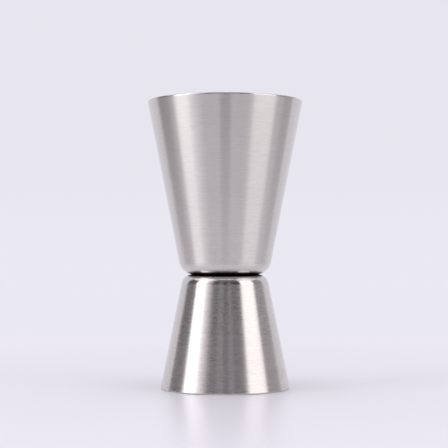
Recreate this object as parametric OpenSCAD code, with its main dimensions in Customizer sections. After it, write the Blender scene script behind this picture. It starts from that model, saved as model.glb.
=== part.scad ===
// Double bar jigger: a large and a small stainless steel measuring cup, welded closed end to closed end.
// It stands on the small cup's rim. Millimetres, +Z up, origin at the centre of the face it stands on.

/* [Large cup] */
// Outside diameter of the large cup's rim
large_rim_d = 46.6; // [44:0.1:52]
// Height of the large cup, from the join to its rim
large_h = 52.2; // [48:0.1:56]
// Lean of the large cup's wall from upright, in degrees
large_lean = 11.1; // [10:0.1:12]
// Outer radius of the large cup's base corner
large_corner_r = 4.2; // [2:0.1:5]

/* [Small cup] */
// Outside diameter of the small cup's rim
small_rim_d = 38.8; // [37:0.1:43]
// Height of the small cup, from the join to its rim
small_h = 34.3; // [31:0.1:37]
// Lean of the small cup's wall from upright, in degrees
small_lean = 11.4; // [10:0.1:12]
// Outer radius of the small cup's base corner
small_corner_r = 3.2; // [2:0.1:5]

/* [Sheet and lips] */
// Thickness of the steel, the same in walls and floors
sheet_t = 0.8; // [0.6:0.1:1]
// Width of the flat ground along the top of each round lip
lip_flat_w = 0.4; // [0.2:0.05:0.5]

/* [Welds] */
// Diameter of each weld nugget, where the two floors meet
nugget_d = 4.4; // [3.5:0.1:4.8]
// Share of each floor's thickness that a nugget reaches through
nugget_reach = 0.55; // [0.4:0.05:0.7]
// Diameter of the circle that the nuggets' centres lie on
weld_circle_d = 10; // [9:0.5:11]
// Diameter of the dimple that a welding electrode leaves in a floor
dimple_d = 4.8; // [3.5:0.1:5]
// Depth of the dimple
dimple_depth = 0.1; // [0.04:0.02:0.16]

/* [Hidden] */
$fn = 256;

// The plane where the two closed ends meet
join_z = small_h;

// A lip is half round, so its radius is half the sheet. Its centre lies this far below the ground flat.
lip_r = sheet_t / 2;
lip_drop = sqrt(pow(lip_r, 2) - pow(lip_flat_w / 2, 2));

// Straight walls stop this far under the arcs they blend into, so that each pair meets in one clean edge
blend_lap = 0.001;

// Three welds, the first one towards +Y
weld_count = 3;
weld_step = 360 / weld_count;
first_weld_angle = 90;

// A nugget is a lens. Each of its faces is part of a ball.
nugget_half_t = nugget_reach * sheet_t;
nugget_ball_r = cap_ball_r(nugget_d, nugget_half_t);

// An electrode's tip is part of a ball too, on a shank wider than the dimple
electrode_ball_r = cap_ball_r(dimple_d, dimple_depth);
electrode_shank_d = 1.2 * dimple_d;

steel_satin = [0.76, 0.77, 0.79];
steel_polished = [0.84, 0.85, 0.86];
steel_weld = [0.60, 0.60, 0.63];

// Radius of the ball whose cap has this base diameter and height
function cap_ball_r(base_d, cap_h) = (pow(base_d / 2, 2) + pow(cap_h, 2)) / (2 * cap_h);

// Distance from the axis to the centre of the base corner: corner_r inside the wall's outer line,
// which is tangent to the lip and leans out by lean degrees
function corner_x(lip, lean, corner_r) =
    lip[0] + (lip_r - corner_r + (corner_r - lip[1]) * sin(lean)) / cos(lean);

// Half-section of all that lies inside one face of the sheet: its floor, its round corner and its wall,
// which runs up to the first point of wall_top
module inside_face(corner, bend_r, outward, wall_top) {
    floor_z = corner[1] - bend_r;
    axis_top = [0, wall_top[len(wall_top) - 1][1]];
    wall_foot = corner + (bend_r - blend_lap) * outward;
    polygon(concat([[0, floor_z], [corner[0], floor_z], wall_foot], wall_top, [axis_top]));
    translate(corner) circle(bend_r);
}

// Half-section of a cup that stands on its closed end: floor, rounded corner, leaning wall, ground lip
module cup_section(rim_d, height, lean, corner_r) {
    lip = [rim_d / 2 - lip_r, height - lip_drop];
    corner = [corner_x(lip, lean, corner_r), corner_r];
    outward = [cos(lean), -sin(lean)];
    wall_up = [sin(lean), cos(lean)];
    to_face = (lip_r - blend_lap) * outward;
    intersection() {
        union() {
            difference() {
                inside_face(corner, corner_r, outward, [lip + to_face, lip - to_face]);
                inside_face(corner, corner_r - sheet_t, outward, [lip - to_face + sheet_t * wall_up]);
            }
            translate(lip) circle(lip_r);
        }
        square([rim_d, height]);
    }
}

// Places its children at every weld
module at_each_weld() {
    for (i = [0 : weld_count - 1]) at_weld(i) children();
}

// Places its children at one weld
module at_weld(i) {
    rotate(first_weld_angle + i * weld_step) translate([weld_circle_d / 2, 0, 0]) children();
}

// The ball whose cap is the upper half of a nugget
module nugget_ball() {
    translate([0, 0, nugget_half_t - nugget_ball_r]) sphere(nugget_ball_r);
}

// The tip of a welding electrode, pressed dimple_depth into the inside of a floor
module electrode_tip() {
    intersection() {
        translate([0, 0, sheet_t - dimple_depth + electrode_ball_r]) sphere(electrode_ball_r);
        cylinder(d = electrode_shank_d, h = 2 * sheet_t);
    }
}

// A deep-drawn cup that stands on its closed end, with the weld pockets below its floor and dimples above
module drawn_cup(rim_d, height, lean, corner_r) {
    difference() {
        rotate_extrude() cup_section(rim_d, height, lean, corner_r);
        at_each_weld() {
            nugget_ball();
            electrode_tip();
        }
    }
}

module large_cup() {
    color(steel_satin)
        translate([0, 0, join_z]) drawn_cup(large_rim_d, large_h, large_lean, large_corner_r);
}

module small_cup() {
    color(steel_polished)
        translate([0, 0, join_z]) mirror([0, 0, 1])
            drawn_cup(small_rim_d, small_h, small_lean, small_corner_r);
}

// Fused metal that holds the two floors together, half of it in each
module weld_nugget(i) {
    color(steel_weld)
        translate([0, 0, join_z]) at_weld(i) intersection() {
            nugget_ball();
            mirror([0, 0, 1]) nugget_ball();
        }
}

large_cup();
small_cup();
weld_nugget(0);  // weld_nugget_1
weld_nugget(1);  // weld_nugget_2
weld_nugget(2);  // weld_nugget_3
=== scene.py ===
"""Studio model of a double bar jigger: two brushed steel cups, welded closed end to closed end.

Each cup is drawn as one closed shell, ring by ring, round the jigger's axis. The jigger stands on a pale
floor between two soft lights. Lengths are in metres, angles are in degrees, +Z is up and the camera looks
along +Y.
"""

import logging
import math
from collections.abc import Callable, Iterator
from dataclasses import dataclass
from enum import Enum

import bmesh
import bpy
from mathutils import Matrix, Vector


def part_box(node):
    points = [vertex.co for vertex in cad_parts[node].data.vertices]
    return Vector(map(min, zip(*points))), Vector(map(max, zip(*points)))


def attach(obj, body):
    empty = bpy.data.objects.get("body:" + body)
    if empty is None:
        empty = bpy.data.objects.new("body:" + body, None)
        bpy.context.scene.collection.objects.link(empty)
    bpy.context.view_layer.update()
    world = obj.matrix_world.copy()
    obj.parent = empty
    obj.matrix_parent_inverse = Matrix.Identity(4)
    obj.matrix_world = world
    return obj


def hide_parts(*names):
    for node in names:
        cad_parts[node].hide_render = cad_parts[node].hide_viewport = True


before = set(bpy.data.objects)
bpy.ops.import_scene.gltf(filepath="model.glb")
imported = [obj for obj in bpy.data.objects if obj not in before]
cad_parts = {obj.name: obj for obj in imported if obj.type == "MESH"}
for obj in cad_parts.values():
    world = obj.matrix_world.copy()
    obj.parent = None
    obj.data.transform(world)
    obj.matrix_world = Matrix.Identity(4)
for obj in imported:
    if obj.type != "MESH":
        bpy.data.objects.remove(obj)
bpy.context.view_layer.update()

log = logging.getLogger("jigger")

MM = 0.001
BODY = "root"

# Places closer together than this are the same
TOUCH = 0.01 * MM

# Nearer to the axis than this, the brushing is read as if it were this far out
AXIS_GAP = 0.1 * MM

# Further than any point of the jigger is from a weld
FAR_OFF = 1.0

# Turns a highlight's long way from round the axis to across the brushing, as a share of a full turn
QUARTER_TURN = 0.25

# Most of a noise pattern lies between these two values
NOISE_LOW = 0.3
NOISE_HIGH = 0.7

Tint = tuple[float, float, float]
Colour = tuple[float, float, float, float]
Station = tuple[float, float]
Socket = bpy.types.NodeSocket

WHITE: Tint = (1.0, 1.0, 1.0)
CREAM: Tint = (1.0, 0.97, 0.93)


class Mouth(Enum):
    """Which way a cup's open end points. The value is the sign of Z on the way from closed end to rim."""

    UP = 1
    DOWN = -1


class Press(Enum):
    """The side of a cup's floor that a mark is pressed into. Positive is a push towards the mouth."""

    INSIDE = -1
    UNDERSIDE = 1


# ---------------------------------------------------------------- outlines


def between(start: Station, end: Station, share: float) -> Station:
    """Finds the station that lies a given share of the way from start to end."""
    return (start[0] + share * (end[0] - start[0]), start[1] + share * (end[1] - start[1]))


def along_line(start: Station, end: Station, parts: int) -> Iterator[Station]:
    """Steps along a straight stretch of an outline.

    Args:
        start: Radius and height where the stretch begins, which isn't given out again.
        end: Radius and height where it ends.
        parts: Number of equal steps.

    Returns:
        The stations after start, up to and with end.
    """
    for step in range(1, parts + 1):
        yield between(start, end, step / parts)


def on_arc(centre: Station, radius: float, angle: float) -> Station:
    """Finds one point of an arc.

    Args:
        centre: Radius and height of the arc's centre.
        radius: The arc's own radius.
        angle: Direction from the centre, in degrees: 0 is outwards and 90 is towards the mouth.

    Returns:
        Radius and height of the point.
    """
    turn = math.radians(angle)
    return (centre[0] + radius * math.cos(turn), centre[1] + radius * math.sin(turn))


def along_arc(centre: Station, radius: float, first: float, last: float, parts: int) -> Iterator[Station]:
    """Steps along a round stretch of an outline.

    Args:
        centre: Radius and height of the arc's centre.
        radius: The arc's own radius.
        first: Direction where the arc begins, in degrees, which isn't given out again.
        last: Direction where it ends.
        parts: Number of equal steps.

    Returns:
        The stations after the first direction, up to and with the last one.
    """
    for step in range(1, parts + 1):
        yield on_arc(centre, radius, first + step / parts * (last - first))


# ---------------------------------------------------------------- modelling in edit mode


def select_points(mesh: bpy.types.Mesh, wanted: Callable[[Vector], bool]) -> int:
    """Selects, in edit mode, only the shown points that pass a test.

    Args:
        mesh: The mesh in edit mode.
        wanted: Says whether the point at a place is taken.

    Returns:
        How many points are selected.
    """
    bpy.ops.mesh.select_mode(type="VERT")
    bpy.ops.mesh.select_all(action="DESELECT")
    sheet = bmesh.from_edit_mesh(mesh)
    for point in sheet.verts:
        point.select = not point.hide and wanted(point.co)
    sheet.select_flush_mode()
    bmesh.update_edit_mesh(mesh)
    return sum(point.select for point in sheet.verts)


class Wheel:
    """Draws a shell round the Z axis in edit mode, each ring extruded from the last one."""

    def __init__(self, name: str, segments: int, first: Station) -> None:
        """Starts with a round disc at its size and place.

        Args:
            name: Name of the new object.
            segments: Number of points in each ring.
            first: Radius and height of the disc.
        """
        bpy.ops.object.select_all(action="DESELECT")
        bpy.ops.mesh.primitive_circle_add(
            vertices=segments, radius=first[0], fill_type="TRIFAN", location=(0, 0, first[1])
        )
        bpy.ops.object.transform_apply(location=True, rotation=True, scale=True)
        self.piece = bpy.context.object
        self.piece.name = name
        self.piece.data.name = name
        self.at = first
        bpy.ops.object.mode_set(mode="EDIT")
        bpy.ops.mesh.select_mode(type="EDGE")
        bpy.ops.mesh.select_all(action="DESELECT")
        bpy.ops.mesh.select_non_manifold(extend=False)

    def draw_to(self, station: Station) -> None:
        """Extrudes the last ring to a new one.

        Args:
            station: Radius and height of the new ring.
        """
        growth = station[0] / self.at[0]
        rise = station[1] - self.at[1]
        bpy.ops.mesh.extrude_edges_move(TRANSFORM_OT_translate={"value": (0, 0, rise)})
        bpy.ops.transform.resize(value=(growth, growth, 1), center_override=(0, 0, 0))
        self.at = station

    def close(self) -> None:
        """Draws the last ring together in one point and turns every face outwards."""
        bpy.ops.mesh.extrude_edges_move(TRANSFORM_OT_translate={"value": (0, 0, 0)})
        bpy.ops.mesh.merge(type="CENTER")
        bpy.ops.mesh.select_all(action="SELECT")
        bpy.ops.mesh.normals_make_consistent(inside=False)


@dataclass
class Welds:
    """The three spot welds that join the floors: where they lie and the marks they leave."""

    nodes: tuple[str, ...] = ("weld_nugget_1", "weld_nugget_2", "weld_nugget_3")
    dimple_r: float = 2.4 * MM
    dimple_depth: float = 0.1 * MM

    def __post_init__(self) -> None:
        """Reads the nuggets' places and sizes from the frame."""
        boxes = [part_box(node) for node in self.nodes]
        self.centres = [(low + high) / 2 for low, high in boxes]
        low, high = boxes[0]
        self.nugget_r = (high.x - low.x) / 2
        self.nugget_depth = (high.z - low.z) / 2
        self.circle_r = self.centres[0].xy.length

    def dress(self, finish: bpy.types.Material) -> None:
        """Gives the carried-over nuggets their finish.

        Args:
            finish: The material of fused steel.
        """
        for node in self.nodes:
            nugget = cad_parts[node]
            nugget.data.materials.clear()
            nugget.data.materials.append(finish)
            log.info("dressed %s", node)


@dataclass
class Cup:
    """One deep-drawn cup: round floor, rounded corner, leaning wall and a round lip that is ground flat."""

    name: str
    node: str
    slot: str
    mouth: Mouth
    lean: float
    corner_r: float
    sheet_t: float = 0.8 * MM
    lip_flat_w: float = 0.4 * MM
    edge_break: float = 0.03 * MM
    eye_r: float = 1.2 * MM
    mark_margin: float = 1.1
    crease_angle: float = 40.0
    segments: int = 288
    middle_parts: int = 4
    outer_parts: int = 5
    wall_parts: int = 18
    corner_parts: int = 24
    lip_parts: int = 8
    mark_parts: int = 26
    break_parts: int = 2

    def __post_init__(self) -> None:
        """Works out the sizes that follow from the frame."""
        low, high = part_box(self.node)
        self.rim_r = high.x
        self.height = high.z - low.z
        ends = (low.z, high.z)
        self.closed_z, self.rim_z = ends if self.mouth is Mouth.UP else reversed(ends)
        self.lip_r = self.sheet_t / 2
        drop = math.sqrt(self.lip_r**2 - (self.lip_flat_w / 2) ** 2)
        self.lip = (self.rim_r - self.lip_r, self.height - drop)
        slant = math.radians(self.lean)
        shift = self.lip_r - self.corner_r + (self.corner_r - self.lip[1]) * math.sin(slant)
        self.corner = (self.lip[0] + shift / math.cos(slant), self.corner_r)

    def place(self, station: Station) -> Station:
        """Turns a height above the closed end into a Z.

        Args:
            station: Radius and height above the closed end.

        Returns:
            Radius and Z.
        """
        return (station[0], self.closed_z + self.mouth.value * station[1])

    def floor_rings(self, welds: Welds, height: float) -> list[Station]:
        """Lays rings over a floor, close together where the welds mark it.

        Args:
            welds: The welds that mark the floor.
            height: Height of the floor above the closed end.

        Returns:
            The stations from the disc at the middle to the start of the corner.
        """
        marked = self.mark_margin * welds.dimple_r
        inner = (welds.circle_r - marked, height)
        outer = (welds.circle_r + marked, height)
        rings = list(along_line((self.eye_r, height), inner, self.middle_parts))
        rings += along_line(inner, outer, self.mark_parts)
        rings += along_line(outer, (self.corner[0], height), self.outer_parts)
        return rings

    def outline(self, welds: Welds) -> Iterator[Station]:
        """Goes once round the sheet's half-section.

        Args:
            welds: The welds that mark the floors.

        Returns:
            Radius and height above the closed end, from the outer floor over the lip to the inner floor.
        """
        wall = -self.lean
        flat = math.degrees(math.asin(self.lip_flat_w / 2 / self.lip_r))
        inner_r = self.corner_r - self.sheet_t
        yield from self.floor_rings(welds, 0)
        yield from along_arc(self.corner, self.corner_r, -90, wall, self.corner_parts)
        outer_foot = on_arc(self.corner, self.corner_r, wall)
        yield from self.wall(outer_foot, on_arc(self.lip, self.lip_r, wall))
        yield from along_arc(self.lip, self.lip_r, wall, 90 - flat, self.lip_parts)
        yield (self.lip[0], self.height)
        yield on_arc(self.lip, self.lip_r, 90 + flat)
        yield from along_arc(self.lip, self.lip_r, 90 + flat, 180 + wall, self.lip_parts)
        inner_foot = on_arc(self.corner, inner_r, wall)
        yield from self.wall(on_arc(self.lip, self.lip_r, 180 + wall), inner_foot)
        yield from along_arc(self.corner, inner_r, wall, -90, self.corner_parts)
        inner_floor = self.floor_rings(welds, self.sheet_t)
        yield from reversed(inner_floor[:-1])
        yield (self.eye_r, self.sheet_t)

    def wall(self, start: Station, end: Station) -> Iterator[Station]:
        """Steps along the wall, closely where it blends into the corner and the lip.

        Args:
            start: Radius and height where the wall begins.
            end: Radius and height where it ends.

        Returns:
            The stations after start, up to and with end.
        """
        for step in range(1, self.wall_parts + 1):
            share = (1 - math.cos(math.pi * step / self.wall_parts)) / 2
            yield between(start, end, share)

    def press(self, welds: Welds, side: Press) -> None:
        """Presses the round marks of the welds into the floor, with the mesh in edit mode.

        Args:
            welds: The welds whose marks are pressed.
            side: The side of the floor that takes them.
        """
        inside = side is Press.INSIDE
        height = self.sheet_t if inside else 0.0
        floor_z = self.place((0, height))[1]
        reach = welds.dimple_r if inside else welds.nugget_r
        depth = welds.dimple_depth if inside else welds.nugget_depth
        push = (0, 0, side.value * self.mouth.value * depth)
        mesh = self.piece.data
        select_points(mesh, lambda co: abs(co.z - floor_z) < TOUCH)
        bpy.ops.mesh.hide(unselected=True)
        for centre in welds.centres:
            taken = select_points(mesh, lambda co: (co.xy - centre.xy).length < TOUCH)
            if taken != 1:
                raise RuntimeError(f"{self.name} has {taken} points under a weld's centre")
            bpy.ops.transform.translate(
                value=push,
                use_proportional_edit=True,
                proportional_edit_falloff="INVERSE_SQUARE",
                proportional_size=reach,
            )
        bpy.ops.mesh.reveal(select=False)

    def soften_flat(self) -> None:
        """Breaks the two edges of the ground flat, with the mesh in edit mode."""
        half_w = self.lip_flat_w / 2

        def on_edge(co: Vector) -> bool:
            """Says whether a point lies on one of the flat's two edges."""
            from_middle = abs(co.xy.length - self.lip[0])
            return abs(co.z - self.rim_z) < TOUCH and abs(from_middle - half_w) < TOUCH

        select_points(self.piece.data, on_edge)
        bpy.ops.mesh.select_mode(type="EDGE")
        bpy.ops.mesh.bevel(offset=self.edge_break, segments=self.break_parts, affect="EDGES")

    def build(self, welds: Welds) -> bpy.types.Object:
        """Models the cup.

        Args:
            welds: The welds that mark its floor.

        Returns:
            The finished mesh object.
        """
        wheel = Wheel(self.name, self.segments, self.place((self.eye_r, 0)))
        self.piece = wheel.piece
        for station in self.outline(welds):
            wheel.draw_to(self.place(station))
        wheel.close()
        self.press(welds, Press.INSIDE)
        self.press(welds, Press.UNDERSIDE)
        self.soften_flat()
        bpy.ops.object.mode_set(mode="OBJECT")
        bpy.ops.object.shade_smooth_by_angle(angle=math.radians(self.crease_angle))
        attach(self.piece, BODY)
        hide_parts(self.node)
        log.info("built %s, %d faces", self.name, len(self.piece.data.polygons))
        return self.piece

    def dress(self, finish: bpy.types.Material) -> None:
        """Gives the cup its finish.

        Args:
            finish: The material of the steel.
        """
        self.piece.data.materials.clear()
        self.piece.data.materials.append(finish)


# ---------------------------------------------------------------- finishes


class Nodes:
    """Adds and joins the nodes of one material."""

    def __init__(self, name: str) -> None:
        """Starts a material with nothing but its output.

        Args:
            name: Name of the new material.
        """
        self.material = bpy.data.materials.new(name)
        self.material.use_nodes = True
        self.tree = self.material.node_tree
        self.tree.nodes.clear()
        self.output = self.tree.nodes.new("ShaderNodeOutputMaterial")

    def add(self, kind: str, **settings: object) -> bpy.types.ShaderNode:
        """Adds one node.

        Args:
            kind: The node's type, without its ShaderNode prefix.
            settings: The node's own settings by name.

        Returns:
            The new node.
        """
        node = self.tree.nodes.new("ShaderNode" + kind)
        for name, value in settings.items():
            setattr(node, name, value)
        return node

    def feed(self, socket: Socket, source: Socket | float | tuple[float, ...]) -> None:
        """Links a socket to another one, or sets its value.

        Args:
            socket: The input.
            source: An output to link from, or the value to set.
        """
        if isinstance(source, bpy.types.NodeSocket):
            self.tree.links.new(source, socket)
        else:
            socket.default_value = source

    def math(self, operation: str, *terms: Socket | float) -> Socket:
        """Adds a sum.

        Args:
            operation: Name of the Math node's operation.
            terms: Its one to three inputs.

        Returns:
            The result.
        """
        node = self.add("Math", operation=operation)
        for socket, term in zip(node.inputs, terms):
            self.feed(socket, term)
        return node.outputs[0]

    def place(self) -> tuple[Socket, ...]:
        """Reads a point's place on the model.

        Returns:
            Its X, Y and Z in the object's own coordinates.
        """
        split = self.add("SeparateXYZ")
        self.feed(split.inputs[0], self.add("TexCoord").outputs["Object"])
        return tuple(split.outputs)

    def mix(self, share: Socket, first: Socket | Colour, second: Socket | Colour) -> Socket:
        """Blends two colours.

        Args:
            share: How much of the second colour is taken.
            first: The first colour.
            second: The second colour.

        Returns:
            The blend.
        """
        node = self.add("Mix", data_type="RGBA")
        self.feed(node.inputs["Factor"], share)
        self.feed(next(socket for socket in node.inputs if socket.identifier == "A_Color"), first)
        self.feed(next(socket for socket in node.inputs if socket.identifier == "B_Color"), second)
        return next(socket for socket in node.outputs if socket.identifier == "Result_Color")

    def vary(self, pattern: Socket, low: float, high: float) -> Socket:
        """Turns a noise pattern, most of which lies from NOISE_LOW to NOISE_HIGH, into a range of results.

        Args:
            pattern: The noise.
            low: Result where the noise is low.
            high: Result where the noise is high.

        Returns:
            The result.
        """
        return self.spread(pattern, NOISE_LOW, NOISE_HIGH, low, high)

    def spread(
        self, value: Socket, low: float, high: float, to_low: float, to_high: float
    ) -> Socket:
        """Maps a range onto another one, and holds it at both ends.

        Args:
            value: The input.
            low: Input that gives to_low.
            high: Input that gives to_high.
            to_low: Result at the low end.
            to_high: Result at the high end.

        Returns:
            The result.
        """
        node = self.add("MapRange", clamp=True)
        for socket, term in zip(node.inputs, (value, low, high, to_low, to_high)):
            self.feed(socket, term)
        return node.outputs["Result"]

    def noise(self, place: Socket, scale: float, detail: float = 2.0) -> Socket:
        """Adds a noise pattern.

        Args:
            place: Where the pattern is read.
            scale: Its grains per unit of place.
            detail: Number of finer layers.

        Returns:
            The pattern's value, about 0 to 1.
        """
        node = self.add("TexNoise")
        self.feed(node.inputs["Vector"], place)
        self.feed(node.inputs["Scale"], scale)
        self.feed(node.inputs["Detail"], detail)
        return node.outputs["Fac"]


def scaled(colour: Colour, factor: float) -> Colour:
    """Makes a colour lighter or darker, and leaves its alpha."""
    return tuple(factor * part for part in colour[:3]) + (colour[3],)


@dataclass(frozen=True)
class Strokes:
    """One kind of mark that an abrasive belt leaves as the cup turns: a thin line part of the way round."""

    per_radian: float
    pitch: float
    tone: float
    height: float
    detail: float = 0.0


@dataclass(frozen=True)
class BrushedSteel:
    """Stainless steel that was turned against an abrasive belt, so its fine lines run round the axis."""

    name: str
    mouth: Mouth
    closed_z: float
    rim_z: float
    welds: Welds
    roughness: float
    anisotropy: float
    line_tone: float
    line_roughness: float
    line_depth: float
    groove_end: float
    corner_polish: float
    colour: Colour = (0.66, 0.628, 0.597, 1.0)
    # Near-black painted into the groove between the cups as shade
    groove_shade: Colour = (0.10, 0.085, 0.09, 1.0)
    straw: Colour = (0.60, 0.49, 0.35, 1.0)
    smudge_roughness: float = 0.03
    smudge_scale: float = 55.0
    lip_w: float = 0.5 * MM
    lip_full_share: float = 0.6
    lip_polish: float = 0.08
    corner_h: float = 2.2 * MM
    corner_fade: float = 1.4
    groove_full: float = 0.3 * MM
    groove_turn: tuple[float, float] = (0.1, 0.4)
    heat_w: float = 1.6 * MM
    heat_strength: float = 0.6
    dashes: Strokes = Strokes(per_radian=8.0, pitch=0.36 * MM, tone=0.6, height=1.0)
    lines: Strokes = Strokes(per_radian=1.5, pitch=0.42 * MM, tone=0.25, height=0.3)
    bands: Strokes = Strokes(per_radian=0.5, pitch=1.2 * MM, tone=0.15, height=0.0, detail=1.0)

    def belt(self, kit: Nodes, strokes: Strokes) -> Socket:
        """Makes one kind of mark round the axis.

        Args:
            kit: The material's nodes.
            strokes: The kind of mark.

        Returns:
            The pattern's value, about 0 to 1.
        """
        x, y, z = kit.place()
        radius = kit.math("SQRT", kit.math("ADD", kit.math("MULTIPLY", x, x), kit.math("MULTIPLY", y, y)))
        safe_radius = kit.math("MAXIMUM", radius, AXIS_GAP)
        per_radian = kit.math("DIVIDE", strokes.per_radian, safe_radius)
        along = kit.math("ADD", z, kit.math("MULTIPLY", radius, float(self.mouth.value)))
        where = kit.add("CombineXYZ")
        kit.feed(where.inputs["X"], kit.math("MULTIPLY", x, per_radian))
        kit.feed(where.inputs["Y"], kit.math("MULTIPLY", y, per_radian))
        kit.feed(where.inputs["Z"], kit.math("DIVIDE", along, strokes.pitch))
        return kit.noise(where.outputs[0], 1.0, strokes.detail)

    def near(self, kit: Nodes, plane_z: float, full: float, end: float) -> Socket:
        """Finds how near the surface is to a level plane.

        Args:
            kit: The material's nodes.
            plane_z: Height of the plane.
            full: Distance up to which the result is 1.
            end: Distance from which the result is 0.

        Returns:
            The nearness.
        """
        _, _, z = kit.place()
        gap = kit.math("ABSOLUTE", kit.math("SUBTRACT", z, plane_z))
        return kit.spread(gap, full, end, 1.0, 0.0)

    def groove(self, kit: Nodes) -> Socket:
        """Finds the tight groove between the two cups, where the belt can't reach and shade is painted into
        the colour.

        Args:
            kit: The material's nodes.

        Returns:
            1 in the groove and 0 elsewhere.
        """
        split = kit.add("SeparateXYZ")
        kit.feed(split.inputs[0], kit.add("NewGeometry").outputs["Normal"])
        turned_away = kit.math("MULTIPLY", split.outputs["Z"], -float(self.mouth.value))
        outside = kit.spread(turned_away, *self.groove_turn, 0.0, 1.0)
        close = self.near(kit, self.closed_z, self.groove_full, self.groove_end)
        return kit.math("MULTIPLY", outside, close)

    def heat(self, kit: Nodes) -> Socket:
        """Finds the faint round stains that the weld's heat leaves on the floor.

        Args:
            kit: The material's nodes.

        Returns:
            Strength of the stain.
        """
        gap = FAR_OFF
        for centre in self.welds.centres:
            away = kit.add("VectorMath", operation="DISTANCE")
            kit.feed(away.inputs[0], kit.add("TexCoord").outputs["Object"])
            kit.feed(away.inputs[1], tuple(centre))
            gap = kit.math("MINIMUM", away.outputs["Value"], gap)
        edge = self.welds.dimple_r
        return kit.spread(gap, edge, edge + self.heat_w, self.heat_strength, 0.0)

    def skin(self, kit: Nodes, tone: Socket) -> Socket:
        """Colours the steel: the belt's lines, the stains round the welds and painted shade in the groove.

        Args:
            kit: The material's nodes.
            tone: The lines' pattern.

        Returns:
            The base colour.
        """
        dark = scaled(self.colour, 1 - self.line_tone)
        light = scaled(self.colour, 1 + self.line_tone)
        steel = kit.mix(kit.vary(tone, 0.0, 1.0), dark, light)
        stained = kit.mix(self.heat(kit), steel, self.straw)
        # Painted shade: darkens the groove between the cups towards near-black
        return kit.mix(self.groove(kit), stained, self.groove_shade)

    def polish(self, kit: Nodes, marks: Socket) -> Socket:
        """Sets the roughness: smoother on the lip and by the closed end, duller under smudges.

        Args:
            kit: The material's nodes.
            marks: The belt marks' pattern.

        Returns:
            The roughness.
        """
        smudge = kit.noise(kit.add("TexCoord").outputs["Object"], self.smudge_scale)
        rough = kit.math("ADD", kit.vary(marks, -self.line_roughness, self.line_roughness), self.roughness)
        rough = kit.math("ADD", rough, kit.vary(smudge, 0.0, self.smudge_roughness))
        lip = self.near(kit, self.rim_z, self.lip_full_share * self.lip_w, self.lip_w)
        rough = kit.math("SUBTRACT", rough, kit.math("MULTIPLY", lip, self.lip_polish))
        corner = self.near(kit, self.closed_z, self.corner_h, self.corner_fade * self.corner_h)
        return kit.math("SUBTRACT", rough, kit.math("MULTIPLY", corner, self.corner_polish))

    def material(self) -> bpy.types.Material:
        """Builds the finish.

        Returns:
            The material.
        """
        kit = Nodes(self.name)
        tone = 0.0
        height = 0.0
        for strokes in (self.dashes, self.lines, self.bands):
            marks = self.belt(kit, strokes)
            tone = kit.math("MULTIPLY_ADD", marks, strokes.tone, tone)
            height = kit.math("MULTIPLY_ADD", marks, strokes.height, height)
        bump = kit.add("Bump")
        kit.feed(bump.inputs["Distance"], self.line_depth)
        kit.feed(bump.inputs["Height"], height)

        x, y, _ = kit.place()
        round_way = kit.add("CombineXYZ")
        kit.feed(round_way.inputs["X"], kit.math("MULTIPLY", y, -1.0))
        kit.feed(round_way.inputs["Y"], x)
        unit = kit.add("VectorMath", operation="NORMALIZE")
        kit.feed(unit.inputs[0], round_way.outputs[0])

        steel = kit.add("BsdfPrincipled")
        kit.feed(steel.inputs["Base Color"], self.skin(kit, tone))
        kit.feed(steel.inputs["Metallic"], 1.0)
        kit.feed(steel.inputs["Roughness"], self.polish(kit, tone))
        kit.feed(steel.inputs["Anisotropic"], self.anisotropy)
        kit.feed(steel.inputs["Anisotropic Rotation"], QUARTER_TURN)
        kit.feed(steel.inputs["Tangent"], unit.outputs[0])
        kit.feed(steel.inputs["Normal"], bump.outputs[0])
        kit.feed(kit.output.inputs["Surface"], steel.outputs[0])
        return kit.material


@dataclass(frozen=True)
class FusedSteel:
    """Steel that melted and froze again inside a spot weld: duller, with a grain of fine cells."""

    name: str = "fused_steel"
    dark: Colour = (0.34, 0.32, 0.30, 1.0)
    light: Colour = (0.42, 0.40, 0.38, 1.0)
    smooth: float = 0.45
    rough: float = 0.60
    cell_scale: float = 3500.0
    cloud_scale: float = 900.0
    cloud_detail: float = 4.0
    cell_depth: float = 0.01 * MM

    def material(self) -> bpy.types.Material:
        """Builds the finish.

        Returns:
            The material.
        """
        kit = Nodes(self.name)
        place = kit.add("TexCoord").outputs["Object"]
        cells = kit.add("TexVoronoi")
        kit.feed(cells.inputs["Vector"], place)
        kit.feed(cells.inputs["Scale"], self.cell_scale)
        cloud = kit.noise(place, self.cloud_scale, self.cloud_detail)
        bump = kit.add("Bump")
        kit.feed(bump.inputs["Distance"], self.cell_depth)
        kit.feed(bump.inputs["Height"], cells.outputs["Distance"])
        steel = kit.add("BsdfPrincipled")
        kit.feed(steel.inputs["Base Color"], kit.mix(kit.vary(cloud, 0.0, 1.0), self.dark, self.light))
        kit.feed(steel.inputs["Metallic"], 1.0)
        kit.feed(steel.inputs["Roughness"], kit.vary(cloud, self.smooth, self.rough))
        kit.feed(steel.inputs["Normal"], bump.outputs[0])
        kit.feed(kit.output.inputs["Surface"], steel.outputs[0])
        return kit.material


# ---------------------------------------------------------------- studio


def look_from(azimuth: float, distance: float, height: float) -> Vector:
    """Finds a place round the jigger.

    Args:
        azimuth: Direction seen from above, where 0 is towards the camera and 90 is to the camera's right.
        distance: How far from the axis.
        height: How far above the floor.

    Returns:
        The place.
    """
    turn = math.radians(azimuth)
    return Vector((distance * math.sin(turn), -distance * math.cos(turn), height))


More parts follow.
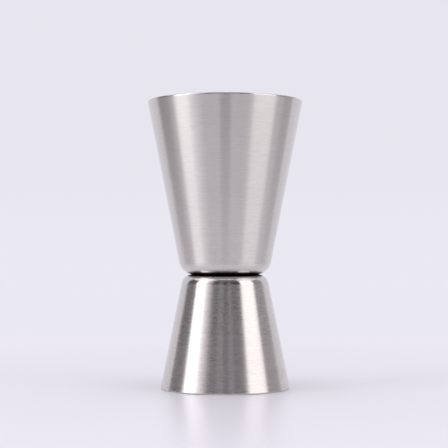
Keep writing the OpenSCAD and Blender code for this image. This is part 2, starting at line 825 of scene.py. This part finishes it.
@dataclass(frozen=True)
class Softbox:
    """A large soft light that faces the jigger. Only a mirrored one shows in reflections."""

    name: str
    azimuth: float
    distance: float
    height: float
    width: float
    tall: float
    power: float
    colour: Tint = WHITE
    aim_height: float = 0.05
    mirrored: bool = True

    def build(self) -> None:
        """Hangs the light."""
        bpy.ops.object.light_add(type="AREA")
        lamp = bpy.context.object
        lamp.name = self.name
        lamp.data.shape = "RECTANGLE"
        lamp.data.size = self.width
        lamp.data.size_y = self.tall
        lamp.data.energy = self.power
        lamp.data.color = self.colour
        lamp.location = look_from(self.azimuth, self.distance, self.height)
        aim = Vector((0, 0, self.aim_height)) - lamp.location
        lamp.rotation_euler = aim.to_track_quat("-Z", "Y").to_euler()
        lamp.visible_camera = False
        lamp.visible_glossy = self.mirrored


@dataclass(frozen=True)
class Screen:
    """A curved grey screen round part of the studio, which only reflections see."""

    name: str
    first: float
    last: float
    tone: float
    near: Station
    far: Station
    last_tone: float | None = None
    colour: Colour = (1.0, 0.95, 1.04, 1.0)
    steps: int = 24

    def build(self) -> None:
        """Models the screen, paints it and hides it from the camera, from diffuse light and from shadows.
        """
        bpy.ops.object.select_all(action="DESELECT")
        bpy.ops.mesh.primitive_plane_add(size=1.0)
        screen = bpy.context.object
        screen.name = self.name
        bpy.ops.object.mode_set(mode="EDIT")
        bpy.ops.mesh.select_mode(type="VERT")
        bpy.ops.mesh.select_all(action="SELECT")
        bpy.ops.mesh.merge(type="CENTER")
        start = look_from(self.first, *self.near)
        end = look_from(self.first, *self.far)
        bpy.ops.transform.translate(value=start)
        bpy.ops.mesh.extrude_region_move(TRANSFORM_OT_translate={"value": end - start})
        bpy.ops.mesh.select_all(action="SELECT")
        swing = math.radians(self.last - self.first)
        bpy.ops.mesh.spin(steps=self.steps, angle=swing, center=(0, 0, 0), axis=(0, 0, -1))
        bpy.ops.object.mode_set(mode="OBJECT")
        screen.data.materials.append(self.paint())
        screen.visible_camera = False
        screen.visible_diffuse = False
        screen.visible_shadow = False

    def paint(self) -> bpy.types.Material:
        """Builds a glow that changes evenly from the first edge to the last.

        Returns:
            The material.
        """
        kit = Nodes(self.name)
        x, y, _ = kit.place()
        azimuth = kit.math("ARCTAN2", x, kit.math("MULTIPLY", y, -1.0))
        ends = (math.radians(self.first), math.radians(self.last))
        last_tone = self.tone if self.last_tone is None else self.last_tone
        glow = kit.add("Emission")
        kit.feed(glow.inputs["Color"], self.colour)
        kit.feed(glow.inputs["Strength"], kit.spread(azimuth, *ends, self.tone, last_tone))
        kit.feed(kit.output.inputs["Surface"], glow.outputs[0])
        kit.material.cycles.emission_sampling = "NONE"
        return kit.material


@dataclass(frozen=True)
class Backdrop:
    """The even pale surroundings, a little brighter towards the horizon."""

    colour: Colour = (0.80, 0.785, 0.86, 1.0)
    horizon_gain: float = 1.03
    glow_rise: float = 0.09

    def build(self) -> None:
        """Lights the world."""
        world = bpy.data.worlds.new("pale_backdrop")
        bpy.context.scene.world = world
        world.use_nodes = True
        world.cycles.sampling_method = "NONE"
        tree = world.node_tree
        split = tree.nodes.new("ShaderNodeSeparateXYZ")
        tree.links.new(tree.nodes.new("ShaderNodeTexCoord").outputs["Generated"], split.inputs[0])
        rise = tree.nodes.new("ShaderNodeMapRange")
        rise.interpolation_type = "SMOOTHSTEP"
        tree.links.new(split.outputs["Z"], rise.inputs["Value"])
        rise.inputs["From Max"].default_value = self.glow_rise
        rise.inputs["To Min"].default_value = self.horizon_gain
        rise.inputs["To Max"].default_value = 1.0
        sky = tree.nodes["Background"]
        sky.inputs["Color"].default_value = self.colour
        tree.links.new(rise.outputs["Result"], sky.inputs["Strength"])


@dataclass(frozen=True)
class Floor:
    """A pale, slightly glossy table top that runs out into the backdrop."""

    backdrop: Backdrop
    radius: float = 15.0
    segments: int = 96
    fade_from: float = 0.10
    fade_to: float = 1.0
    gloss_from: float = 0.05
    gloss_to: float = 0.18
    colour: Colour = (0.785, 0.77, 0.805, 1.0)
    roughness: float = 0.32
    gloss: float = 0.33

    def far_share(self, kit: Nodes, first: float, last: float) -> Socket:
        """Finds how far off the floor is, in even steps as the eye sees them.

        Args:
            kit: The material's nodes.
            first: Distance from the middle up to which the result is 0.
            last: Distance from which the result is 1.

        Returns:
            The share.
        """
        reach = kit.add("VectorMath", operation="LENGTH")
        kit.feed(reach.inputs[0], kit.add("TexCoord").outputs["Object"])
        nearness = kit.math("DIVIDE", 1.0, reach.outputs["Value"])
        share = kit.add("MapRange", interpolation_type="SMOOTHSTEP")
        for socket, term in zip(share.inputs, (nearness, 1 / last, 1 / first, 1.0, 0.0)):
            kit.feed(socket, term)
        return share.outputs["Result"]

    def build(self) -> None:
        """Models the floor and gives it its finish."""
        bpy.ops.object.select_all(action="DESELECT")
        bpy.ops.mesh.primitive_circle_add(
            vertices=self.segments, radius=self.radius, fill_type="NGON"
        )
        floor = bpy.context.object
        floor.name = "floor"
        floor.data.materials.append(self.paint())

    def paint(self) -> bpy.types.Material:
        """Builds the floor's finish.

        Returns:
            The material.
        """
        kit = Nodes("floor_white")
        matt = self.far_share(kit, self.gloss_from, self.gloss_to)
        top = kit.add("BsdfPrincipled")
        kit.feed(top.inputs["Base Color"], self.colour)
        kit.feed(top.inputs["Roughness"], self.roughness)
        kit.feed(top.inputs["Specular IOR Level"], kit.spread(matt, 0.0, 1.0, self.gloss, 0.0))
        far = kit.add("Emission")
        kit.feed(far.inputs["Color"], self.backdrop.colour)
        kit.feed(far.inputs["Strength"], self.backdrop.horizon_gain)
        mix = kit.add("MixShader")
        kit.feed(mix.inputs[0], self.far_share(kit, self.fade_from, self.fade_to))
        kit.feed(mix.inputs[1], top.outputs[0])
        kit.feed(mix.inputs[2], far.outputs[0])
        kit.feed(kit.output.inputs["Surface"], mix.outputs[0])
        kit.material.cycles.emission_sampling = "NONE"
        return kit.material


@dataclass(frozen=True)
class Viewpoint:
    """The camera: a little above the join and left of the axis, pitched up slightly."""

    lens: float = 101.6
    distance: float = 382 * MM
    height: float = 41.7 * MM
    left: float = 0.33 * MM
    pitch: float = 1.16
    nearest: float = 0.01
    farthest: float = 20.0

    def build(self) -> None:
        """Sets up the camera."""
        camera = bpy.data.objects.new("camera", bpy.data.cameras.new("camera"))
        bpy.context.scene.collection.objects.link(camera)
        camera.data.lens = self.lens
        camera.data.clip_start = self.nearest
        camera.data.clip_end = self.farthest
        camera.location = (-self.left, -self.distance, self.height)
        camera.rotation_euler = (math.radians(90 + self.pitch), 0, 0)
        bpy.context.scene.camera = camera


@dataclass(frozen=True)
class Studio:
    """Everything round the jigger."""

    lights: tuple[Softbox, ...] = (
        Softbox("left_softbox", -67.6, distance=1.0, height=0.42, width=0.48, tall=0.8, power=2.3),
        Softbox(
            "right_softbox", 62, distance=1.0, height=0.42, width=0.73, tall=0.8, power=1.88,
            colour=CREAM,
        ),
        Softbox(
            "overhead_fill", 0, distance=0.03, height=1.25, width=0.6, tall=0.6, power=3.0,
            mirrored=False,
        ),
    )
    screens: tuple[Screen, ...] = (
        Screen("left_card", -118, -83, tone=0.10, last_tone=0.16, near=(1.1, 0.0), far=(1.1, 0.95)),
        # Painted shade: a sheet just above the floor that darkens the table at the left where reflections
        # see it
        Screen("left_shade", -125, -92, tone=0.60, near=(0.2, 1 * MM), far=(0.9, 4 * MM)),
        Screen("left_glow", -56, -30, tone=1.45, last_tone=0.06, near=(0.9, 0.0), far=(0.9, 1.2)),
        Screen("left_top_glow", -135, -50, tone=1.50, near=(0.95, 0.82), far=(0.35, 1.35)),
        Screen("right_top_glow", 50, 125, tone=1.20, near=(0.95, 0.82), far=(0.35, 1.35)),
        Screen("dark_room", -30, 42, tone=0.015, near=(0.9, 0.105), far=(0.85, 0.62)),
        Screen("dim_ceiling", -30, 42, tone=0.17, near=(0.85, 0.62), far=(0.55, 1.25)),
        Screen("ceiling_glow", -30, 42, tone=1.6, near=(0.55, 1.25), far=(0.24, 1.36)),
        Screen("left_door", -17, -4, tone=0.20, near=(0.8, 0.12), far=(0.8, 0.6)),
        Screen("right_door", 7, 16, tone=0.20, near=(0.8, 0.12), far=(0.8, 0.6)),
        # Painted shadow: a sheet just above the floor in front, standing for the camera's shadow on the
        # table in reflections
        Screen("camera_shade", -8, 8.5, tone=0.44, near=(0.18, 1 * MM), far=(0.85, 4 * MM)),
        Screen("rear_shade", 145, 215, tone=0.16, near=(0.9, 0.5), far=(0.02, 1.3)),
        # Painted shade: a sheet just above the floor that darkens the table at the right where reflections
        # see it
        Screen("right_shade", 96, 120, tone=0.62, near=(0.2, 1 * MM), far=(0.9, 4 * MM)),
        Screen("right_card", 82, 118, tone=0.32, last_tone=0.38, near=(1.1, 0.0), far=(1.1, 0.95)),
    )

    def build(self) -> None:
        """Builds the floor, the backdrop, the lights, the screens and the camera."""
        backdrop = Backdrop()
        backdrop.build()
        Floor(backdrop).build()
        for item in self.lights + self.screens:
            item.build()
            log.info("placed %s", item.name)
        Viewpoint().build()
        bpy.context.scene.view_settings.view_transform = "Standard"


# ---------------------------------------------------------------- the whole jigger


class Jigger:
    """The large and the small cup and the welds between them."""

    def __init__(self) -> None:
        """Sets out the parts."""
        self.welds = Welds()
        self.large = Cup(
            "large_cup_shell", "large_cup", "satin_steel", Mouth.UP, lean=11.1, corner_r=4.2 * MM
        )
        self.small = Cup(
            "small_cup_shell", "small_cup", "polished_steel", Mouth.DOWN, lean=11.4, corner_r=3.2 * MM
        )

    def brushed(self, cup: Cup, name: str, **settings: float) -> bpy.types.Material:
        """Builds the brushed finish of one cup.

        Args:
            cup: The cup that the finish is for.
            name: Name of the material.
            settings: The finish's own fields by name.

        Returns:
            The material.
        """
        steel = BrushedSteel(name, cup.mouth, cup.closed_z, cup.rim_z, self.welds, **settings)
        return steel.material()

    def build(self) -> None:
        """Models and dresses every part."""
        for cup in (self.large, self.small):
            cup.build(self.welds)
        self.large.dress(
            self.brushed(
                self.large, "satin_brushed_steel", roughness=0.28, anisotropy=0.95, line_tone=0.045,
                line_roughness=0.008, line_depth=2.0e-6, groove_end=0.9 * MM, corner_polish=0.10,
            )
        )
        self.small.dress(
            self.brushed(
                self.small, "bright_brushed_steel", roughness=0.27, anisotropy=0.92, line_tone=0.07,
                line_roughness=0.016, line_depth=6.0e-6, groove_end=0.68 * MM, corner_polish=0.13,
            )
        )
        self.welds.dress(FusedSteel().material())


def main() -> None:
    """Builds the jigger and its studio."""
    logging.basicConfig(level=logging.INFO)
    Jigger().build()
    Studio().build()


if __name__ == "__main__":
    main()
